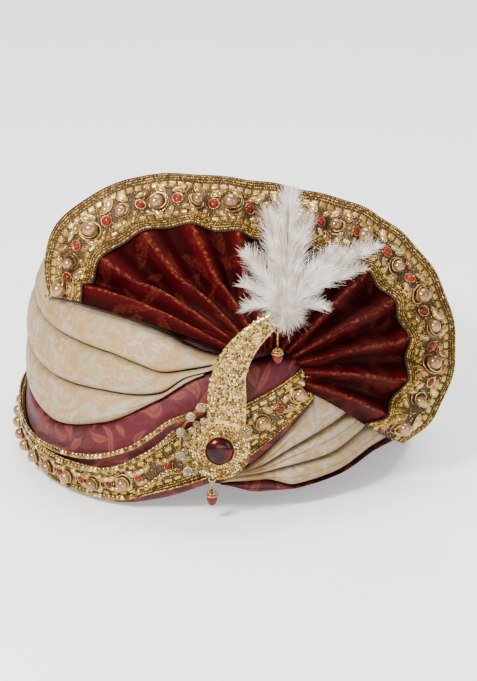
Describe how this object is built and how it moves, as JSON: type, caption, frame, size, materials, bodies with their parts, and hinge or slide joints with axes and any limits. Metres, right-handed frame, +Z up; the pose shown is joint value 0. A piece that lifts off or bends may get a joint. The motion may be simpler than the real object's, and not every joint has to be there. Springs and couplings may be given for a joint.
{
  "type": "tied turban",
  "caption": "Ready-tied wedding turban of wound maroon and cream cloth, with a pleated fan edged in jewelled lace, a plumed rhinestone brooch, drops and chains",
  "frame": {"origin": "middle of the turban's base, on the surface that it rests on", "axes": "+Z up; the front with the brooch looks along -Y, and +X is the wearer's left side"},
  "size_m": [0.2986, 0.331, 0.2172],
  "materials": {
    "maroon_brocade": "crimson satin with a woven gold leaf pattern",
    "cream_brocade": "silvery cream satin with a woven gold leaf scroll",
    "maroon_silk": "dark maroon satin, softly shining on the pleats",
    "gold_lace": "antique gold net lace with braided edges",
    "pearl": "champagne imitation pearl, glossy",
    "rhinestone_gold": "pale gold plating set with clear rhinestones",
    "clear_stone": "clear cut glass",
    "red_stone": "deep red cut glass",
    "white_down": "white down"
  },
  "bodies": {
    "root": {"crown": "maroon_brocade", "maroon_wrap": "maroon_brocade", "cream_fold_1": "cream_brocade", "cream_fold_2": "cream_brocade", "cream_fold_3": "cream_brocade", "fan": "maroon_silk", "fan_lace": "gold_lace", "lace_band": "gold_lace", "fan_pearl_01": "pearl", "fan_pearl_02": "pearl", "fan_pearl_03": "pearl", "fan_pearl_04": "pearl", "fan_pearl_05": "pearl", "fan_pearl_06": "pearl", "fan_pearl_07": "pearl", "fan_pearl_08": "pearl", "fan_pearl_09": "pearl", "fan_pearl_10": "pearl", "fan_pearl_11": "pearl", "fan_pearl_12": "pearl", "fan_pearl_13": "pearl", "fan_pearl_14": "pearl", "fan_pearl_15": "pearl", "fan_pearl_16": "pearl", "fan_pearl_17": "pearl", "band_pearl_01": "pearl", "band_pearl_02": "pearl", "band_pearl_03": "pearl", "band_pearl_04": "pearl", "band_pearl_05": "pearl", "band_pearl_06": "pearl", "band_pearl_07": "pearl", "band_pearl_08": "pearl", "band_pearl_09": "pearl", "band_pearl_10": "pearl", "band_pearl_11": "pearl", "brooch": "rhinestone_gold", "chain_upper": "rhinestone_gold", "chain_middle": "rhinestone_gold", "chain_lower": "rhinestone_gold", "chain_clasp": "rhinestone_gold", "lower_drop_cap": "rhinestone_gold", "upper_drop_cap": "rhinestone_gold", "side_stone_1": "clear_stone", "side_stone_2": "clear_stone", "side_stone_3": "clear_stone", "side_stone_4": "clear_stone", "side_stone_5": "clear_stone", "ruby": "red_stone", "lower_drop_bead": "red_stone", "upper_drop_bead": "red_stone", "plume": "white_down"}
  },
  "joints": []
}
